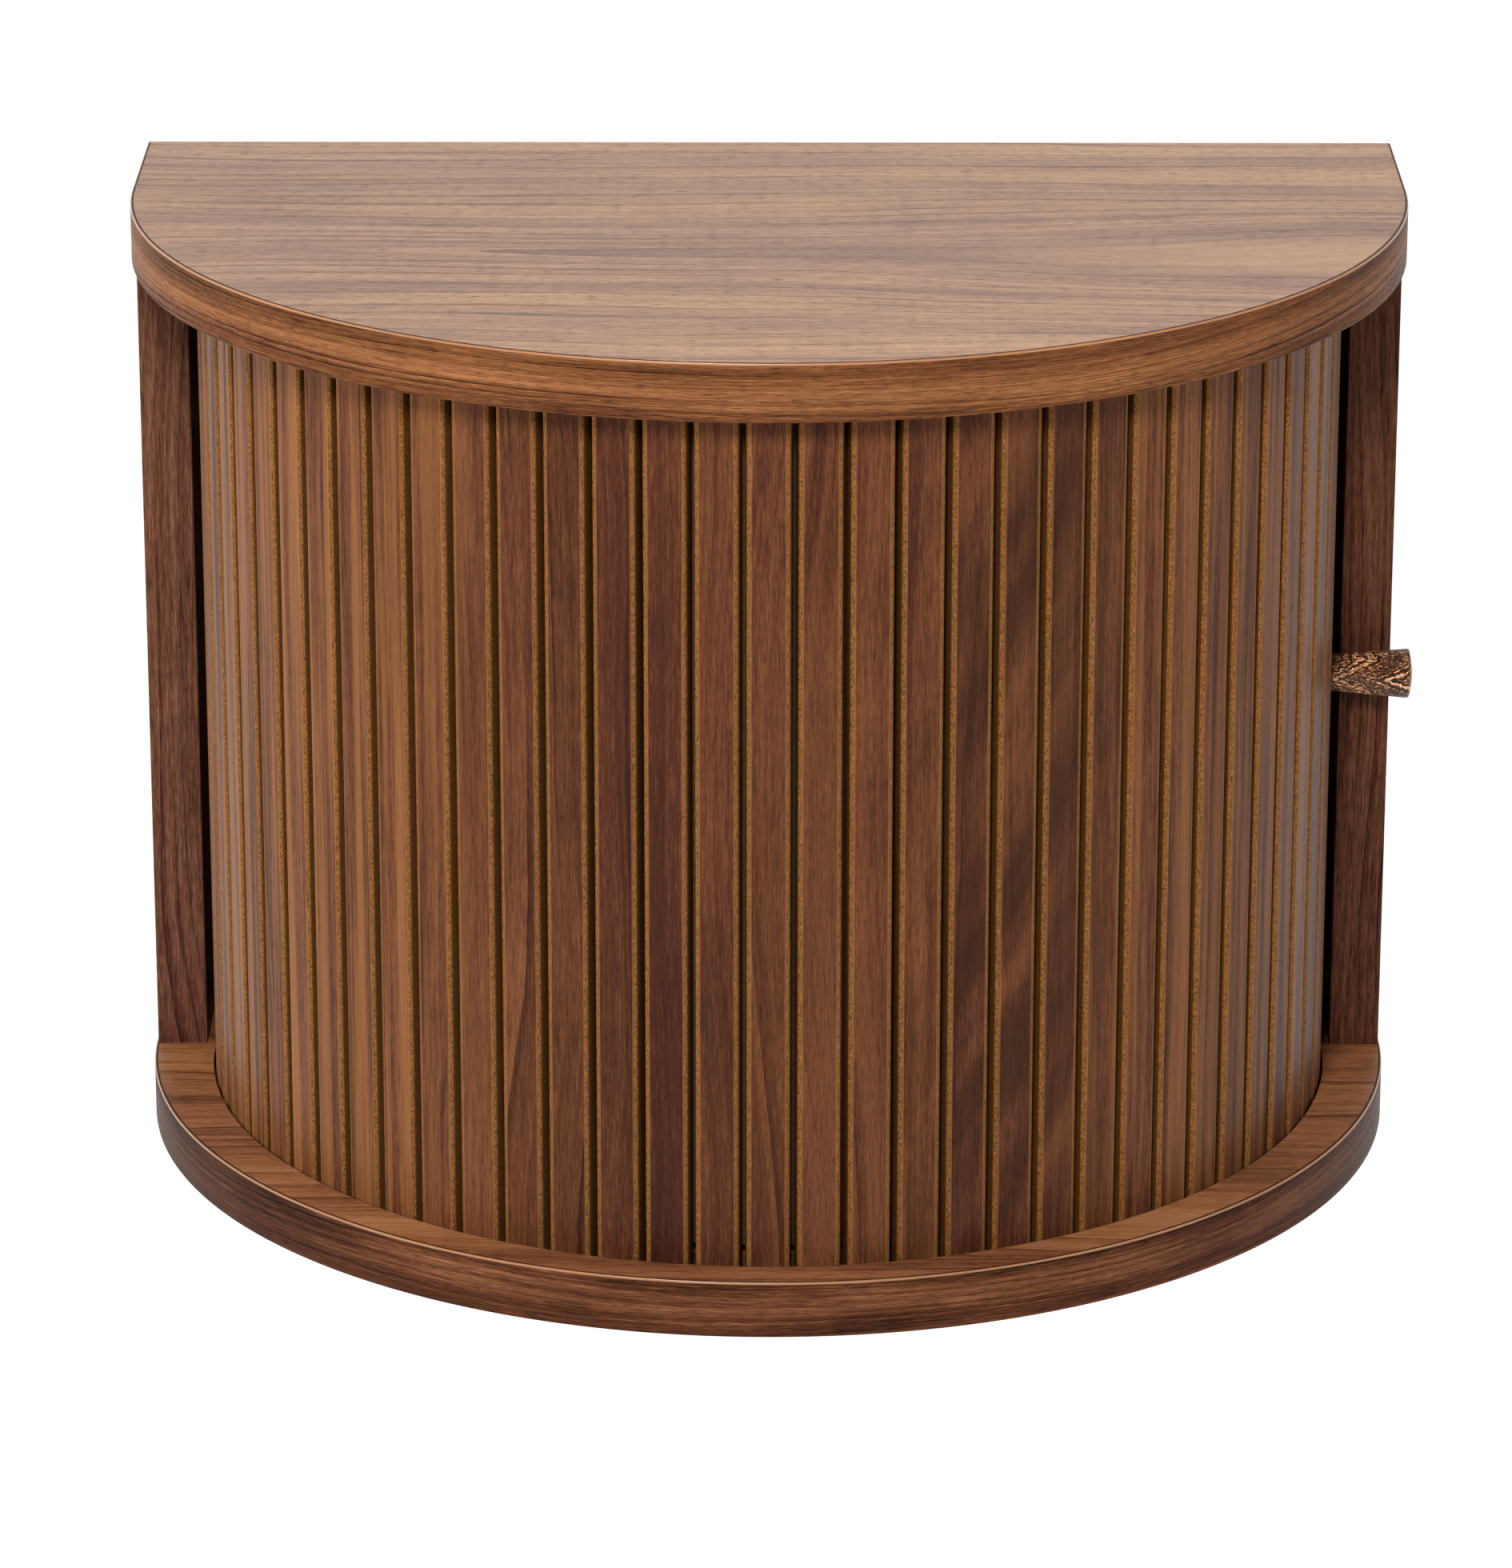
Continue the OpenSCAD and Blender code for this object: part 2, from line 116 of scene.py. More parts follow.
class Tree:
    """A node tree in the making. node() adds one node and gives one of its outputs."""

    def __init__(self, tree):
        self.tree = tree

    def node(self, kind, settings=None, sockets=None, output=0):
        """One output of a new node. settings are its own values, and sockets its inputs' values or links."""
        made = self.tree.nodes.new(kind)
        for name, value in (settings or {}).items():
            if name == "stops":
                stops = made.color_ramp.elements
                while len(stops) < len(value):
                    stops.new(0.5)
                for stop, (place, colour) in zip(stops, value):
                    stop.position = place
                    stop.color = colour
            else:
                setattr(made, name, value)
        for name, value in (sockets or {}).items():
            if isinstance(value, Socket):
                self.tree.links.new(value.link, made.inputs[name])
            else:
                made.inputs[name].default_value = value
        return Socket(self, made.outputs[output]) if made.outputs else None

    def maths(self, operation, *values):
        return self.node("ShaderNodeMath", {"operation": operation}, dict(enumerate(values)))

    def ramp(self, amount, *stops):
        """Colour that amount picks from stops of (place, colour)."""
        return self.node("ShaderNodeValToRGB", {"stops": stops}, {0: amount})

    def point(self, x, y, z):
        return self.node("ShaderNodeCombineXYZ", {}, {0: x, 1: y, 2: z})

    def noise(self, x, y, z, detail=2.0, roughness=0.5):
        """Smooth noise from 0 to 1, about one feature per unit."""
        sockets = {"Vector": self.point(x, y, z), "Scale": 1.0, "Detail": detail, "Roughness": roughness}
        return self.node("ShaderNodeTexNoise", {}, sockets)

    def mixed(self, amount, one, other):
        """Colour one, turned towards colour other by amount."""
        return self.node("ShaderNodeMix", {"data_type": "RGBA"}, {0: amount, 6: one, 7: other}, output=2)

    def place(self):
        """Object coordinates x, y and z, in millimetres."""
        where = self.node("ShaderNodeTexCoord", output="Object")
        return [self.node("ShaderNodeSeparateXYZ", {}, {0: where}, output=i) / MM for i in range(3)]


def tone(red, green, blue):
    """Linear colour of a screen colour whose parts run from 0 to 255."""
    return (*(((part / 255 + 0.055) / 1.055) ** 2.4 for part in (red, green, blue)), 1.0)


def finish(name, paint, **fixed):
    """Material that paint(tree) gives its colour, roughness and height over the surface, and any coat."""
    material = bpy.data.materials.new(name)
    material.use_nodes = True
    material.node_tree.nodes.clear()
    tree = Tree(material.node_tree)
    colour, roughness, height, *coat = paint(tree)
    bump = tree.node("ShaderNodeBump", {}, {"Strength": 1.0, "Distance": MM, "Height": height})
    sockets = {"Base Color": colour, "Roughness": roughness, "Normal": bump, **fixed}
    if coat:
        sockets["Coat Weight"] = coat[0]
    surface = tree.node("ShaderNodeBsdfPrincipled", {}, sockets)
    tree.node("ShaderNodeOutputMaterial", {}, {"Surface": surface})
    return material


def walnut(tree, along, across, depth, colours, heart, ring_w, figure=1.0, lines=1.0, fibres=1.0, pores=1.0):
    """Lacquered walnut, from lengths along, across and into the grain, in millimetres.

    heart is (along, across, taper) of the tree's heart. Rings lie round it as long ellipses, which gives
    arches near it and straight lines far from it. Each ring darkens slowly and ends in a sharp line.
    figure, lines, fibres and pores are the strengths of broad bands, ring lines, fine fibres and pores.
    """
    dark, reddish, golden, light = colours
    bend = (tree.noise(along / 240, across / 75, depth / 90, 1.0) - 0.5) * 34
    ripple = tree.noise(along / 50, across / 12, depth / 60) - 0.5
    aside = across - heart[1] + bend + ripple * 2
    ahead = (along - heart[0]) * heart[2]
    grown = (aside * aside + ahead * ahead).math("SQRT")
    uneven = tree.noise(grown / 40, along / 900, depth / 50 + 4) * 3
    ring = (grown / ring_w + uneven).math("FRACT")
    shown = tree.noise(grown / 14, along / 200, depth / 40 + 12).above(0.4, 0.25)
    late = (ring.math("POWER", 7) + ring * 0.3) * shown
    band = tree.noise(grown / 24, along / 700, depth / 40) - 0.5
    cloud = tree.noise(along / 60, across / 28, depth / 40 + 30) - 0.5
    streak = tree.noise(grown / 2.0, along / 200, depth / 40 + 9, 3.0, 0.65) - 0.5
    fibre = tree.noise(across / 0.6, along / 12, depth / 5) - 0.5
    fine = tree.noise(across / 0.25, along / 4, depth / 5 + 6, 1.0) - 0.5
    pore = tree.noise(across / 0.35, along / 5, depth / 3 + 5, 1.0).above(0.6, 0.1)
    hue = tree.noise(grown / 26, along / 400, depth / 40 + 17).above(0.38, 0.24)
    grain = (band * 1.3 + cloud * 0.6) * figure - late * 0.5 * lines
    amount = 0.56 + grain + (streak + fibre * 0.9 + fine * 0.8) * fibres
    middle = tree.mixed(hue, reddish, golden)
    colour = tree.mixed(amount.above(0.5, 0.5), tree.mixed(amount.above(0.0, 0.5), dark, middle), light)
    colour = tree.mixed(pore * 0.35 * pores, colour, dark)
    return colour, 0.4 + fibre * 0.15 + pore * 0.2, fibre * 0.012 + fine * 0.008 - pore * 0.02


def board_veneer(name, seed, colours, heart, opening, **strengths):
    """Veneer with the grain along x. To the right its lines open round the heart by the share opening.

    They leave a clear tongue with a wavy edge, and lie straight again bent_w millimetres beside it.
    """
    ring_w = 9.0
    tongue_start = 20.0
    tongue_l = 150.0
    tongue_half = 12.0
    tongue_edge = 16.0
    bent_w = 70.0

    def paint(tree):
        x, y, z = tree.place()
        aside = y - heart[1]
        opened = x.above(tongue_start, tongue_l) * aside.size().below(tongue_half, bent_w) * opening
        across = aside * (1 - opened) + heart[1]
        colour, roughness, height = walnut(tree, x, across, z + seed, colours, heart, ring_w, **strengths)
        wave = (tree.noise(x / 110, y / 40, seed) - 0.5) * 22
        clear = (aside + wave).size().below(tongue_half, tongue_edge) * opened
        colour = tree.mixed(clear, colour, colours[3])
        raw = z.size().above(inner_half + 0.02, 0.02) * z.size().below(outer_half - 0.05, 0.02)
        chips = tree.noise(x / 2, y / 2, z / 2, 3.0, 0.7)
        core = tree.ramp(chips, (0.3, tone(52, 33, 22)), (0.7, tone(104, 74, 50)))
        return tree.mixed(raw, colour, core), roughness + raw * 0.4, height

    return finish(name, paint, **{"Specular IOR Level": 0.2})


def dress(node, material):
    """Give one of the construction's own solids its finish."""
    solid = frame["nodes"][node]
    solid.data.materials.clear()
    solid.data.materials.append(material)


inner_half, outer_half = (corner.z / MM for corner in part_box("top_panel"))
# The top's paler, greyer tones are partly painted sheen: together with the veneer's own colour they stand in
# for the lacquer's haze and the light from above.
top_veneer = board_veneer(
    "top_board_veneer",
    seed=40.0,
    colours=(tone(101, 67, 50), tone(152, 111, 85), tone(170, 127, 91), tone(197, 154, 112)),
    heart=(300.0, -140.0, 0.02),
    opening=0.5,
    figure=0.65,
    lines=1.3,
    fibres=1.0,
    pores=2.2,
)
bottom_veneer = board_veneer(
    "bottom_board_veneer",
    seed=310.0,
    colours=(tone(80, 44, 26), tone(138, 86, 54), tone(148, 97, 59), tone(168, 116, 77)),
    heart=(-300.0, -420.0, 0.1),
    opening=0.0,
)
dress("top_panel", top_veneer)
dress("bottom_panel", bottom_veneer)

# Edge banding: a strip of 1 mm solid walnut glued round the sides and the front of each board.
# Its grain follows the edge, and both of its corners are sanded round.
# Each strip is drawn as one section led along the board's outline.
band_low, band_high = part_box("top_edge_band")
board_r = band_high.x
straight_d = band_high.y - band_low.y - board_r
band_t = 1.0 * MM
arris_r = 0.7 * MM
curve_steps = 160
crisp_corner = math.radians(25)


def piece(name, faces_of):
    """Mesh object at the origin, filled by faces_of(bmesh). Faces look outwards, and corners are crisp."""
    mesh = bpy.data.meshes.new(name)
    work = bmesh.new()
    faces_of(work)
    bmesh.ops.recalc_face_normals(work, faces=work.faces)
    for edge in work.edges:
        edge.smooth = edge.calc_face_angle(0.0) < crisp_corner
    work.to_mesh(mesh)
    work.free()
    made = bpy.data.objects.new(name, mesh)
    bpy.context.scene.collection.objects.link(made)
    return made


def led(work, stations, section):
    """Closed section, led through stations of (origin, side way, up way), with flat ends."""
    rings = [
        [work.verts.new(origin + side * across + up * height) for across, height in section]
        for origin, side, up in stations
    ]
    for one, other in zip(rings, rings[1:]):
        for i in range(len(section)):
            j = (i + 1) % len(section)
            work.faces.new((one[i], one[j], other[j], other[i])).smooth = True
    work.faces.new(rings[0])
    work.faces.new(rings[-1])


def rounded(corners, radius, steps=4):
    """Outline with the corners whose flag is set rounded off. corners holds (x, y, flag), turning left."""
    outline = []
    for i, (x, y, soft) in enumerate(corners):
        if not soft:
            outline.append((x, y))
            continue
        here = Vector((x, y))
        before = (Vector(corners[i - 1][:2]) - here).normalized()
        after = (Vector(corners[(i + 1) % len(corners)][:2]) - here).normalized()
        half = before.angle(after) / 2
        middle = here + (before + after).normalized() * radius / math.sin(half)
        start = here + before * radius / math.tan(half) - middle
        turn = math.pi - 2 * half
        for k in range(steps + 1):
            outline.append(tuple(middle + Matrix.Rotation(turn * k / steps, 2) @ start))
    return outline


def board_edge_stations(base):
    """Places along a board's left side, front curve and right side, at the height base."""
    up = Vector((0, 0, 1))
    stations = [(Vector((-board_r, 0, base)), Vector((-1, 0, 0)), up)]
    for k in range(curve_steps + 1):
        turn = math.pi * k / curve_steps
        out = Vector((-math.cos(turn), -math.sin(turn), 0))
        stations.append((Vector((0, -straight_d, base)) + out * board_r, out, up))
    stations.append((Vector((board_r, 0, base)), Vector((1, 0, 0)), up))
    return stations


def edge_veneer(name, seed, colours, figure, painted_side_shade, base):
    """Walnut along the edge. The glued inner rim is dark, the upper corner carries thicker lacquer and a
    painted highlight, and the band's far sides may carry painted shade.
    """
    heart = (0.0, 400.0, 0.05)
    ring_w = 6.0

    def paint(tree):
        x, y, z = tree.place()
        ahead = y + straight_d / MM
        run = tree.maths("ARCTAN2", x, -1 * ahead) * (board_r / MM)
        colour, roughness, height = walnut(
            tree, run + seed, z * 2.3, z * 0.1, colours, heart, ring_w,
            figure=figure, lines=1.2, fibres=1.1, pores=2.0,
        )
        inward = board_r / MM - (x * x + ahead.math("MINIMUM", 0.0) * ahead).math("SQRT")
        # Painted shade: towards its far sides the band turns darker, as if less light fell there; only the
        # bottom band gets it.
        colour = tree.mixed(run.size().above(110.0, 120.0) * painted_side_shade, colour, tone(46, 29, 24))
        # Painted highlight on the upper arris: the colour turns towards a light peach there, and the same
        # mask thickens the real lacquer coat.
        corner = z.above((base + board_t - arris_r) / MM - 0.1, 0.2) * inward.below(0.3, 0.15)
        colour = tree.mixed(corner * 0.4, colour, tone(226, 166, 120))
        colour = tree.mixed(inward.above(0.3, 0.15) * 0.85, colour, tone(58, 30, 16))
        return colour, roughness, height, corner * 0.7

    return finish(name, paint, **{"Specular IOR Level": 0.03, "Coat Roughness": 0.22})


board_t = band_high.z - band_low.z
edge_section = rounded(
    [(-band_t, 0, False), (0, 0, True), (0, board_t, True), (-band_t, board_t, False)], arris_r
)
# The fourth column is the share of painted shade on each band's far sides.
for side, seed, figure, painted_side_shade, colours in (
    ("top", 700.0, 0.9, 0.0, (tone(36, 17, 9), tone(96, 55, 32), tone(107, 67, 39), tone(148, 98, 62))),
    ("bottom", 1900.0, 1.4, 0.5, (tone(26, 12, 7), tone(84, 47, 29), tone(94, 56, 34), tone(130, 86, 57))),
):
    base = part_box(side + "_edge_band")[0].z
    band = piece(side + "_edge_banding", lambda work: led(work, board_edge_stations(base), edge_section))
    band.data.materials.append(edge_veneer(side + "_edge_walnut", seed, colours, figure, painted_side_shade, base))
    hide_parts(side + "_edge_band")
    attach(band, "cabinet")

# Side panels: 16 mm veneered board between the two boards, with upright grain.
# Their front edges carry a strip of solid walnut with softened corners.
# The panels are the construction's own solids, and the strips are drawn with their round corners.
strip_arris_r = 0.5 * MM


def upright_veneer(name, seed, colours):
    """Veneer with straight grain along z, cut far from the tree's heart."""
    heart = (0.0, 600.0, 0.05)
    ring_w = 5.0

    def paint(tree):
        x, y, z = tree.place()
        return walnut(
            tree, z + seed, x + y, seed + x * 0.02, colours, heart, ring_w,
            figure=0.5, lines=1.2, fibres=1.3, pores=1.6,
        )

    return finish(name, paint, **{"Specular IOR Level": 0.05})


for side, seed, colours in (
    ("left", 55.0, (tone(55, 28, 21), tone(88, 52, 39), tone(93, 59, 42), tone(121, 83, 63))),
    ("right", 480.0, (tone(37, 16, 8), tone(74, 41, 27), tone(78, 46, 30), tone(99, 65, 46))),
):
    veneer = upright_veneer(side + "_side_veneer", seed, colours)
    dress("side_panel_" + side, veneer)
    strip_low, strip_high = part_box("side_band_" + side)
    strip_w = strip_high.x - strip_low.x
    strip_t = strip_high.y - strip_low.y
    strip_section = rounded(
        [(0, 0, True), (strip_w, 0, True), (strip_w, strip_t, False), (0, strip_t, False)], strip_arris_r
    )
    strip_ends = [
        (Vector((strip_low.x, strip_low.y, z)), Vector((1, 0, 0)), Vector((0, 1, 0)))
        for z in (strip_low.z, strip_high.z)
    ]
    strip = piece(side + "_side_banding", lambda work: led(work, strip_ends, strip_section))
    strip.data.materials.append(veneer)
    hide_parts("side_band_" + side)
    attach(strip, "cabinet")

# Back: a 10 mm chipboard panel, stained brown, two beech blocks for the hangers and a thin false back.
# The false back keeps things in the cabinet away from the part of the curtain that is put away.


def chipboard(tree):
    x, y, z = tree.place()
    chips = tree.noise(x / 1.6, y / 1.6, z / 1.1, 4.0, 0.7)
    cells = {"Vector": tree.point(x / 2.2, y / 2, z / 1.4), "Scale": 1.0}
    flakes = tree.node("ShaderNodeTexVoronoi", {}, cells, output=1)
    shade = tree.node("ShaderNodeSeparateColor", {}, {0: flakes}) * 0.5 + chips * 0.6
    colour = tree.ramp(shade, (0.2, tone(74, 49, 33)), (0.55, tone(108, 77, 52)), (0.9, tone(146, 111, 80)))
    return colour, 0.75 + chips * 0.1, chips * 0.05


def beech_wood(tree):
    x, y, z = tree.place()
    fleck = tree.noise(x / 5, y / 0.8, z / 0.8, 1.0).above(0.62, 0.06)
    fibre = tree.noise(x / 22, y / 0.5, z / 0.5)
    colour = tree.ramp(fibre, (0.25, tone(176, 132, 92)), (0.75, tone(214, 176, 132)))
    return tree.mixed(fleck * 0.5, colour, tone(150, 104, 68)), 0.6 + fibre * 0.1, fibre * 0.03


board_finish = finish("stained_chipboard", chipboard)
beech_finish = finish("raw_beech", beech_wood)
false_back_finish = upright_veneer(
    "false_back_veneer",
    seed=900.0,
    colours=(tone(70, 38, 24), tone(110, 68, 44), tone(118, 76, 48), tone(140, 96, 66)),
)
dress("back_panel", board_finish)
dress("hanger_block_left", beech_finish)
dress("hanger_block_right", beech_finish)
dress("false_back", false_back_finish)
dress("panel_dowels", beech_finish)

# Fittings: die-cast cam locks with steel bolts, and keyhole plates of galvanised steel with their screws.
# They keep the construction's solids, because each is seen only from behind or inside.


def galvanised(tree):
    x, y, z = tree.place()
    spangle = tree.noise(x / 5, y / 5, z / 5, 3.0, 0.6)
    scratch = tree.noise(x / 0.3, y / 6, z / 9, 2.0)
    colour = tree.ramp(spangle, (0.3, tone(150, 153, 156)), (0.7, tone(190, 193, 195)))
    return colour, 0.32 + spangle * 0.2 + scratch * 0.08, scratch * 0.01


def plain_steel(tree):
    x, y, z = tree.place()
    grime = tree.noise(x / 2, y / 2, z / 2, 3.0, 0.6)
    turned = tree.noise(x / 0.2, y / 3, z / 0.2)
    colour = tree.ramp(grime, (0.3, tone(128, 128, 128)), (0.7, tone(176, 176, 174)))
    return colour, 0.28 + grime * 0.2, turned * 0.008


zinc_finish = finish("galvanised_steel", galvanised, Metallic=1.0)
steel_finish = finish("screw_steel", plain_steel, Metallic=1.0)
dress("cam_locks", zinc_finish)
dress("cam_bolts", steel_finish)
dress("hanger_plate_left", zinc_finish)
dress("hanger_plate_right", zinc_finish)
dress("hanger_screws", steel_finish)
dress("knob_screw", steel_finish)

# Felt pads: small grey blocks glued in the ends of the grooves, one in each board.
# The closing curtain comes to rest against them.


def felt_fibres(tree):
    x, y, z = tree.place()
    fuzz = tree.noise(x / 0.4, y / 0.4, z / 0.4, 4.0, 0.75)
    colour = tree.ramp(fuzz, (0.3, tone(46, 42, 38)), (0.8, tone(104, 98, 90)))
    return colour, 0.95 + fuzz * 0.05, fuzz * 0.3


dress("stop_pads", finish("grey_felt", felt_fibres))

# Slats of the curtain: fibreboard strips with a walnut face, bevelled on both sides down to a narrow slit.
# All are cut from one veneered sheet, so the figure runs on from slat to slat.
# One slat is drawn with its kneed bevels, and repeated round the door's half circle.
slat_names = sorted(name for name in frame["nodes"] if name.startswith("slat_"))
slat_count = len(slat_names)
slat_low, slat_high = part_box(slat_names[slat_count // 2])
door_c = -frame["joints"][0]["pos_m"][1]
door_r = -slat_low.y - door_c
slat_w = slat_high.x - slat_low.x
slat_t = slat_high.y - slat_low.y
bevel_w = 1.7 * MM
bevel_d = 3.0 * MM
knee_w = 1.3 * MM
knee_d = 0.9 * MM
knee_r = 0.8 * MM
face_w = slat_w - 2 * bevel_w
door_tuck = 2.3 * MM
slat_turn = 2 * (math.pi / 2 + door_tuck / door_r) / slat_count


def bevelled_slat(work):
    """One slat. Each bevel is gentle beside the face and steep beside the slit, with a knee between."""
    half = slat_w / 2
    section = rounded(
        [
            (-half, bevel_d, False), (-face_w / 2 - knee_w, knee_d, True), (-face_w / 2, 0, False),
            (face_w / 2, 0, False), (face_w / 2 + knee_w, knee_d, True), (half, bevel_d, False),
            (half, slat_t, False), (-half, slat_t, False),
        ],
        knee_r,
    )
    ends = [(Vector((0, 0, z)), Vector((1, 0, 0)), Vector((0, 1, 0))) for z in (slat_low.z, slat_high.z)]
    led(work, ends, section)


def curtain_tree():
    """Copies of the slat on the door's half circle, each turned and set a hair differently."""
    turn_per_metre = 60  # A slat set forward by a twentieth of a millimetre turns by 0.003 radians.
    group = bpy.data.node_groups.new("curtain", "GeometryNodeTree")
    for name, kind, way in (
        ("Slat", "NodeSocketGeometry", "INPUT"),
        ("Count", "NodeSocketInt", "INPUT"),
        ("Turn per slat", "NodeSocketFloat", "INPUT"),
        ("Door radius", "NodeSocketFloat", "INPUT"),
        ("Centre depth", "NodeSocketFloat", "INPUT"),
        ("Looseness", "NodeSocketFloat", "INPUT"),
        ("Finish", "NodeSocketMaterial", "INPUT"),
        ("Curtain", "NodeSocketGeometry", "OUTPUT"),
    ):
        group.interface.new_socket(name, in_out=way, socket_type=kind)
    tree = Tree(group)
    given = tree.node("NodeGroupInput").link.node
    slat, count, turn, radius, centre, looseness, material = (
        Socket(tree, given.outputs[i]) for i in range(7)
    )
    index = tree.node("GeometryNodeInputIndex")
    order = index - (count - 1) / 2
    jitter = [
        tree.node("FunctionNodeRandomValue", {}, {2: -1.0, 3: 1.0, "ID": index, "Seed": seed}, output=1)
        for seed in (3, 8)
    ]
    angle = order * turn
    reach = radius + jitter[0] * looseness
    spot = tree.point(angle.math("SINE") * reach, -1 * centre - angle.math("COSINE") * reach, 0.0)
    spots = tree.node("GeometryNodePoints", {}, {"Count": count, "Position": spot})
    facing = tree.point(0.0, 0.0, angle + jitter[1] * looseness * turn_per_metre)
    copies = tree.node(
        "GeometryNodeInstanceOnPoints", {}, {"Points": spots, "Instance": slat, "Rotation": facing}
    )
    solid = tree.node("GeometryNodeRealizeInstances", {}, {0: copies})
    dressed = tree.node("GeometryNodeSetMaterial", {}, {"Geometry": solid, "Material": material})
    tree.node("NodeGroupOutput", {}, {0: dressed})
    return group


def grown_mesh(name, seed_piece, group, values):
    """Plain mesh object of what the tree makes from seed_piece, with the modifier gone."""
    modifier = seed_piece.modifiers.new("repeat", "NODES")
    modifier.node_group = group
    for socket in group.interface.items_tree:
        if socket.in_out == "INPUT" and socket.name in values:
            modifier[socket.identifier] = values[socket.name]
    shown = seed_piece.evaluated_get(bpy.context.evaluated_depsgraph_get())
    mesh = bpy.data.meshes.new_from_object(shown)
    bpy.data.objects.remove(seed_piece)
    made = bpy.data.objects.new(name, mesh)
    bpy.context.scene.collection.objects.link(made)
    return made


def door_place(tree):
    """Length round the door, side and depth on the slat, the slat's place in the row, and the height."""
    x, y, z = tree.place()
    forward = -1 * (y + door_c / MM)
    angle = tree.maths("ARCTAN2", x, forward)
    order = (angle / slat_turn).math("ROUND")
    own = angle - order * slat_turn
    radius = (x * x + forward * forward).math("SQRT")
    side = radius * own.math("SINE")
    depth = door_r / MM - radius * own.math("COSINE")
    return angle * (door_r / MM), side, depth, order, z


leaf_joint = 54.0
leaf_w = 188.0


def slat_veneer(tree):
    """Leaves of walnut over the slats' faces, and coarse stained bevels with painted highlights on the
    arrises and painted shade on the steep parts deep in the slits.

    Golden stripes lie towards both sides of the door, and dark flames lean right of the leaves' joint.
    """
    run, side, depth, order, z = door_place(tree)
    leaf = ((run - leaf_joint) / leaf_w).math("FLOOR")
    from_joint = run - leaf_joint - leaf * leaf_w
    colours = (tone(43, 21, 14), tone(70, 36, 24), tone(84, 49, 28), tone(110, 67, 41))
    heart = (0.0, 290.0, 0.1)
    ring_w = 14.0
    layer = (leaf * leaf + leaf * 3) * 15 + order * 0.2
    tree_colour, roughness, height = walnut(
        tree, z + leaf * 37, from_joint, layer, colours, heart, ring_w,
        figure=0.9, lines=1.0, fibres=0.95, pores=1.3,
    )
    stripe = tree.noise(run / 3.5, z / 300, layer, 3.0, 0.6).above(0.42, 0.16)
    golden = run.size().above(80.0, 45.0) * stripe * (0.45 - run * 0.0006)
    tree_colour = tree.mixed(golden, tree_colour, tone(146, 96, 54))
    flame = tree.noise((from_joint - z * 0.55) / 20, (z + from_joint * 0.5) / 150, leaf * 5)
    burning = (run - leaf_joint - 21).size().below(13.0, 26.0)
    gloom = flame.above(0.42, 0.22) * burning
    glow = flame.below(0.3, 0.14) * burning
    own = tree.node("ShaderNodeTexWhiteNoise", {"noise_dimensions": "1D"}, {"W": order + 0.5})
    tree_colour = tree.mixed(own * 0.1 + gloom * 0.65, tree_colour, tone(42, 21, 12))
    tree_colour = tree.mixed(glow * 0.4, tree_colour, tone(110, 68, 39))
    grit = tree.noise(run / 0.5, depth / 0.5, z / 0.9, 3.0, 0.7)
    bevel = tree.ramp(grit, (0.34, tone(76, 43, 16)), (0.52, tone(119, 76, 36)), (0.72, tone(154, 104, 58)))
    # Painted highlight: a light line along each arris of the slat's face.
    arris_highlight = (side.size() - face_w / 2 / MM + 0.02).size().below(0.08, 0.16) * depth.below(0.2, 0.2)
    off_face = depth.above(0.06, 0.06)
    # Painted shade: the steep part of each bevel, deep in the slit, is darkened, and it starts sooner on
    # each slat's right-hand bevel.
    slit_shade = (depth + side.above(0.0, 1.0) * 0.3).above(0.88, 0.35)
    colour = tree.mixed(off_face, tree_colour, bevel)
    colour = tree.mixed(arris_highlight * (0.1 + grit * 0.4), colour, tone(164, 116, 78))
    colour = tree.mixed(slit_shade * 0.8, colour, tone(56, 34, 14))
    return colour, roughness + off_face * 0.25, height * (1 - off_face) + grit * off_face * 0.12


slat_finish = finish(
    "slat_walnut", slat_veneer, **{"Specular IOR Level": 0.11, "Specular Tint": (1.0, 0.84, 0.7, 1.0)}
)
curtain = grown_mesh(
    "tambour_slats",
    piece("one_slat", bevelled_slat),
    curtain_tree(),
    {
        "Count": slat_count, "Turn per slat": slat_turn, "Door radius": door_r, "Centre depth": door_c,
        "Looseness": 0.05 * MM, "Finish": slat_finish,
    },
)
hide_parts(*slat_names)
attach(curtain, "door")

# Canvas: cotton duck, glued over the backs of all the slats; its brown tone is painted light, standing in
# for light bounced into the slits by the bevels.
# It is the curtain's only hinge, and shows as the dark bottom of each slit.
thread_w = 0.45


def canvas_weave(tree):
    run, *_, z = door_place(tree)
    warp = (run * (math.pi / thread_w)).math("SINE")
    weft = (z * (math.pi / thread_w)).math("SINE")
    weave = warp * weft * 0.5 + 0.5
    lint = tree.noise(run / 0.7, z / 0.7, 0.0, 3.0, 0.7)
    # Painted light: these brown tones stand for light bounced off the bevels onto the near-black cloth.
    colour = tree.ramp(weave * 0.6 + lint * 0.4, (0.2, tone(40, 28, 20)), (0.9, tone(96, 72, 54)))
    return colour, 0.9 + lint * 0.08, weave * 0.08


dress("canvas_backing", finish("canvas_painted_bounce_light", canvas_weave))

# Knob: turned from figured wood, a small cone whose wide end points outwards, with a slightly domed top.
# A screw from inside the curtain holds it on the last slat at the right.
knob_low, knob_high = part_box("knob")
knob_a = slat_turn * (slat_count - 1) / 2
knob_way = Vector((math.sin(knob_a), -math.cos(knob_a), 0))
knob_foot = Vector((0, -door_c, (knob_low.z + knob_high.z) / 2)) + knob_way * door_r
knob_end_r = (knob_high.z - knob_low.z) / 2 - 0.01 * MM
knob_base_r = 5.8 * MM
knob_l = 26 * MM
knob_dome = 1.2 * MM
knob_rim_r = 0.9 * MM
knob_foot_bevel = 0.3 * MM
knob_sides = 64
flank_steps = 8
rim_steps = 6


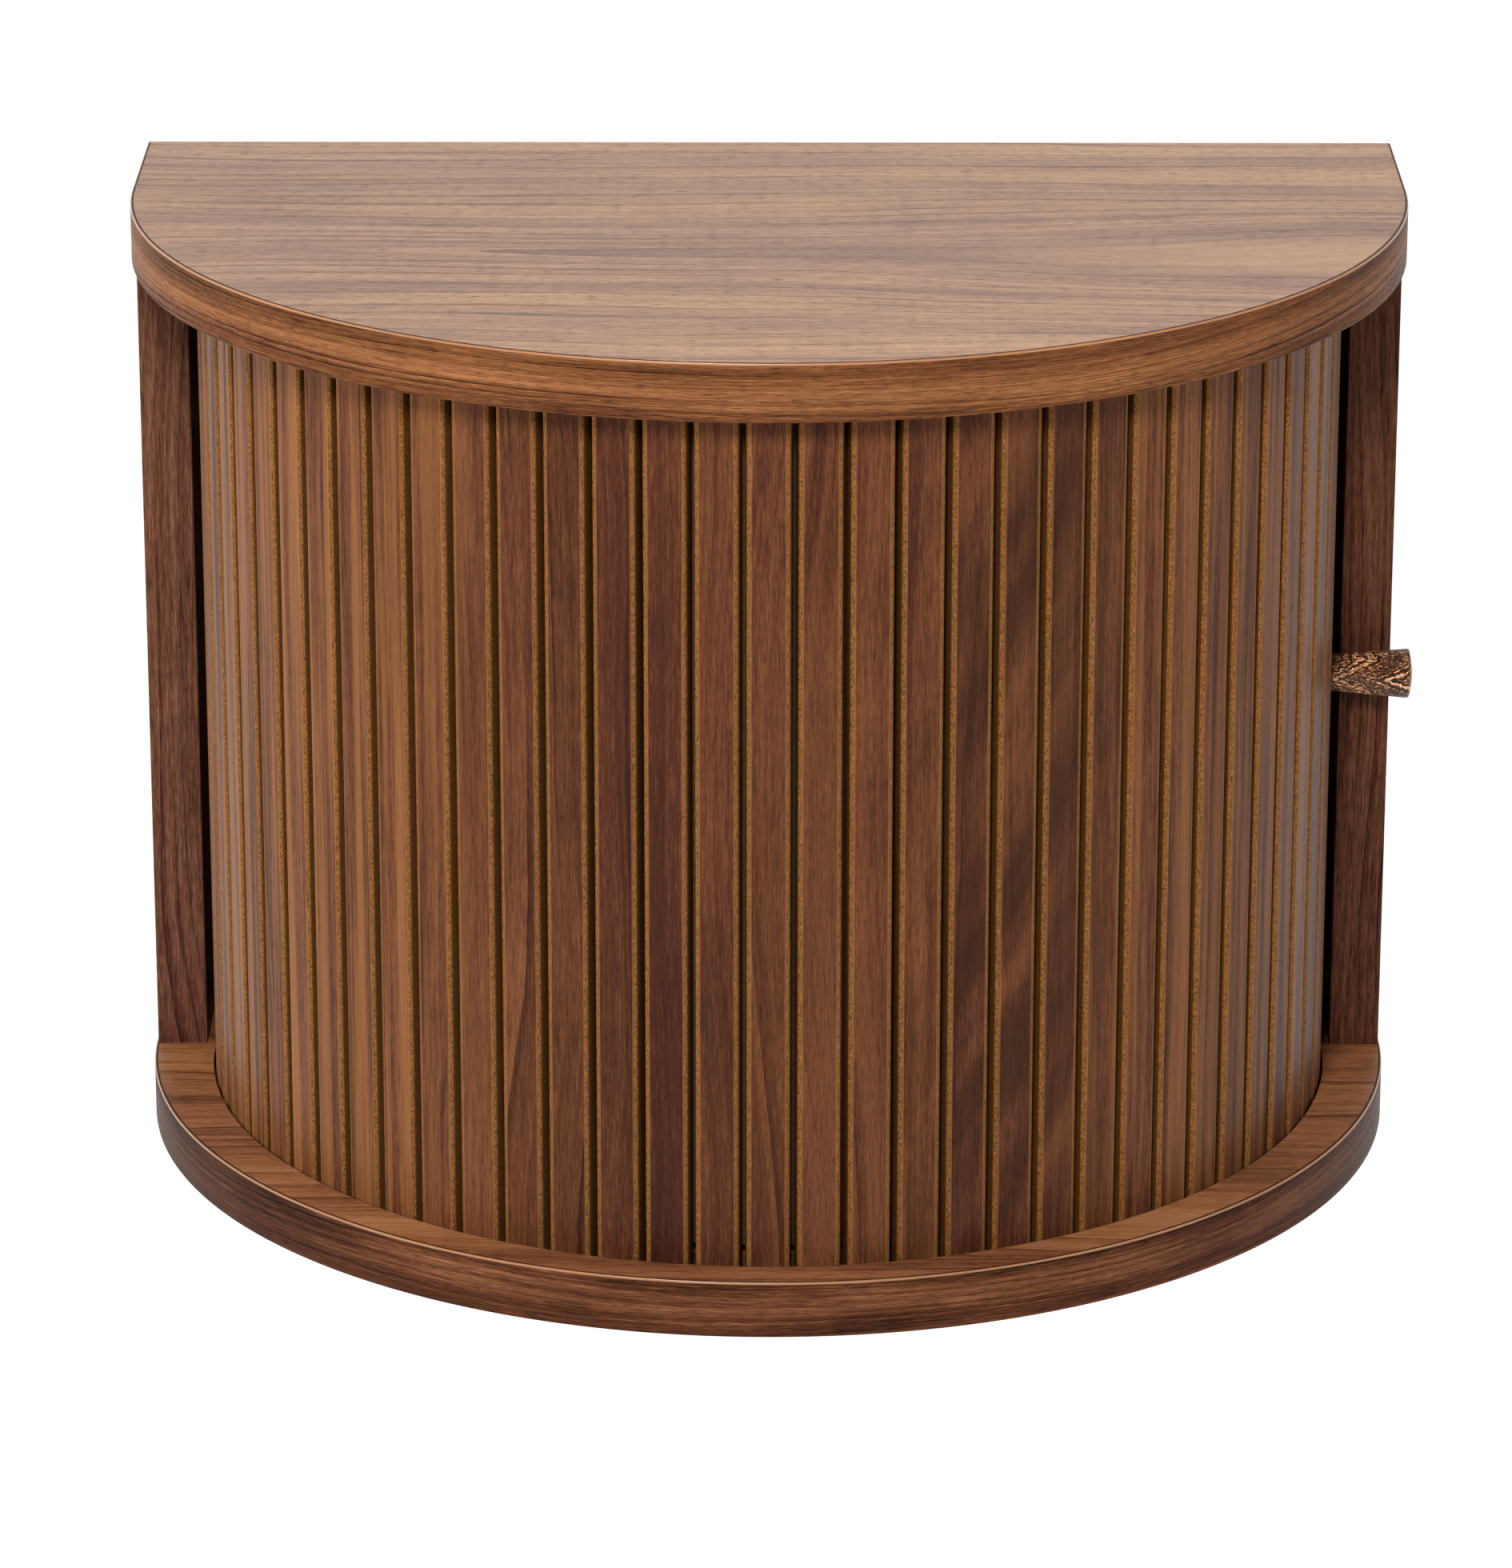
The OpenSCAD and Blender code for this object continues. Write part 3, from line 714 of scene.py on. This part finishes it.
def turned_knob(work):
    """The knob's profile, from the centre of its foot to the centre of its domed end, turned on its axis."""
    flank = knob_l - knob_dome
    rim_centre = (knob_end_r - knob_rim_r, flank - knob_rim_r * 0.6)
    profile = [(0.0, 0.0), (knob_base_r - knob_foot_bevel, 0.0), (knob_base_r, knob_foot_bevel)]
    for k in range(1, flank_steps):
        share = k / flank_steps
        radius = knob_base_r + (knob_end_r - knob_base_r) * share
        profile.append((radius, knob_foot_bevel + (flank - knob_rim_r) * share))
    for k in range(rim_steps + 1):
        turn = math.pi / 2 * k / rim_steps
        profile.append(
            (rim_centre[0] + knob_rim_r * math.cos(turn), rim_centre[1] + knob_rim_r * math.sin(turn))
        )
    top = profile[-1][1]
    for k in range(rim_steps - 1, 0, -1):
        profile.append((rim_centre[0] * k / rim_steps, top + (knob_l - top) * (1 - (k / rim_steps) ** 2)))
    profile.append((0.0, knob_l))
    up = Vector((0, 0, 1))
    side = knob_way.cross(up)
    rings = []
    for radius, reach in profile:
        turns = [2 * math.pi * i / knob_sides for i in range(knob_sides)] if radius else [0.0]
        spokes = [side * math.cos(turn) + up * math.sin(turn) for turn in turns]
        rings.append([work.verts.new(knob_foot + knob_way * reach + spoke * radius) for spoke in spokes])
    for one, other in zip(rings, rings[1:]):
        for i in range(knob_sides):
            j = (i + 1) % knob_sides
            ring = [one[i % len(one)], one[j % len(one)], other[j % len(other)], other[i % len(other)]]
            work.faces.new(dict.fromkeys(ring)).smooth = True


def figured_wood(tree):
    x, y, z = tree.place()
    foot = knob_foot / MM
    reach = (x - foot.x) * knob_way.x + (y - foot.y) * knob_way.y
    aside = (y - foot.y) * knob_way.x - (x - foot.x) * knob_way.y
    height = z - foot.z
    wobble = tree.noise(reach / 3, aside / 2.5, height / 2.5, 3.0, 0.6) - 0.5
    cone = height.size() * 0.9 + aside.size() * 0.4 - reach * 0.35 + wobble * 3.0
    rings = tree.noise(cone / 0.9, 0.0, 3.0, 2.0, 0.6)
    fleck = tree.noise(reach / 1.2, aside / 0.4, height / 0.4, 2.0, 0.6)
    shade = rings * 0.65 + fleck * 0.35
    colour = tree.ramp(
        shade, (0.465, tone(32, 15, 8)), (0.535, tone(106, 66, 41)), (0.575, tone(240, 178, 128))
    )
    return colour, 0.42 + fleck * 0.15, fleck * 0.04


knob = piece("turned_knob", turned_knob)
knob.data.materials.append(finish("turned_figured_walnut", figured_wood, **{"Specular IOR Level": 0.35}))
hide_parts("knob")
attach(knob, "door")

# Studio: a wide pale floor well below the hung cabinet, and a white surround that is brighter behind.
# Soft lamps stand in front and at both sides, and one overhead only draws the lit corners.
floor_z = -1.5
floor_half = 14.0


def pale_floor(work):
    corners = ((-1, -1), (1, -1), (1, 1), (-1, 1))
    work.faces.new([work.verts.new((x * floor_half, y * floor_half, floor_z)) for x, y in corners])


def floor_paint(tree):
    x, y, z = tree.place()
    mottle = tree.noise(x / 400, y / 400, 0.0, 3.0, 0.6)
    colour = tree.mixed(mottle, (0.9, 0.9, 0.9, 1), (0.95, 0.95, 0.95, 1))
    return colour, 0.8 + mottle * 0.1, mottle * 0.1


floor = piece("floor", pale_floor)
floor.data.materials.append(
    finish("matt_white_floor", floor_paint, **{"Emission Color": (1, 1, 1, 1), "Emission Strength": 0.6})
)

world = bpy.data.worlds.new("studio")
world.use_nodes = True
world.node_tree.nodes.clear()
surround = Tree(world.node_tree)
aim = surround.node("ShaderNodeTexCoord", output="Generated")
sideways, backwards = (surround.node("ShaderNodeSeparateXYZ", {}, {0: aim}, output=i) for i in range(2))
behind = (backwards - sideways * 0.2).above(-0.3, 1.2)
glow = {"Color": (1.0, 0.99, 0.98, 1), "Strength": 0.1 + behind * 1.2}
white = surround.node("ShaderNodeBackground", {}, glow)
surround.node("ShaderNodeOutputWorld", {}, {"Surface": white})
bpy.context.scene.world = world


def soft_lamp(name, place, target, width, power, glossy):
    """Square lamp that the camera doesn't see. It either lights the wood or, if glossy, only its lacquer."""
    data = bpy.data.lights.new(name, "AREA")
    data.shape = "SQUARE"
    data.size = width
    data.energy = power
    lamp = bpy.data.objects.new(name, data)
    lamp.visible_camera = False
    lamp.visible_glossy = glossy
    lamp.visible_diffuse = not glossy
    aim = (Vector(target) - Vector(place)).to_track_quat("-Z", "Y")
    lamp.matrix_world = Matrix.Translation(place) @ aim.to_matrix().to_4x4()
    bpy.context.scene.collection.objects.link(lamp)


soft_lamp("front_softbox", (-0.15, -1.5, 0.95), (0, -0.15, 0), width=0.35, power=25.5, glossy=False)
soft_lamp("left_softbox", (-1.6, -0.6, 0.2), (0, -0.1, 0), width=0.5, power=15, glossy=False)
soft_lamp("right_softbox", (1.35, -0.95, 0.45), (0, -0.1, 0), width=0.5, power=6.5, glossy=False)
soft_lamp("overhead_softbox", (-0.3, -0.9, 2.1), (0, -0.2, 0.1), width=0.7, power=40, glossy=True)
bpy.context.scene.view_settings.view_transform = "Standard"
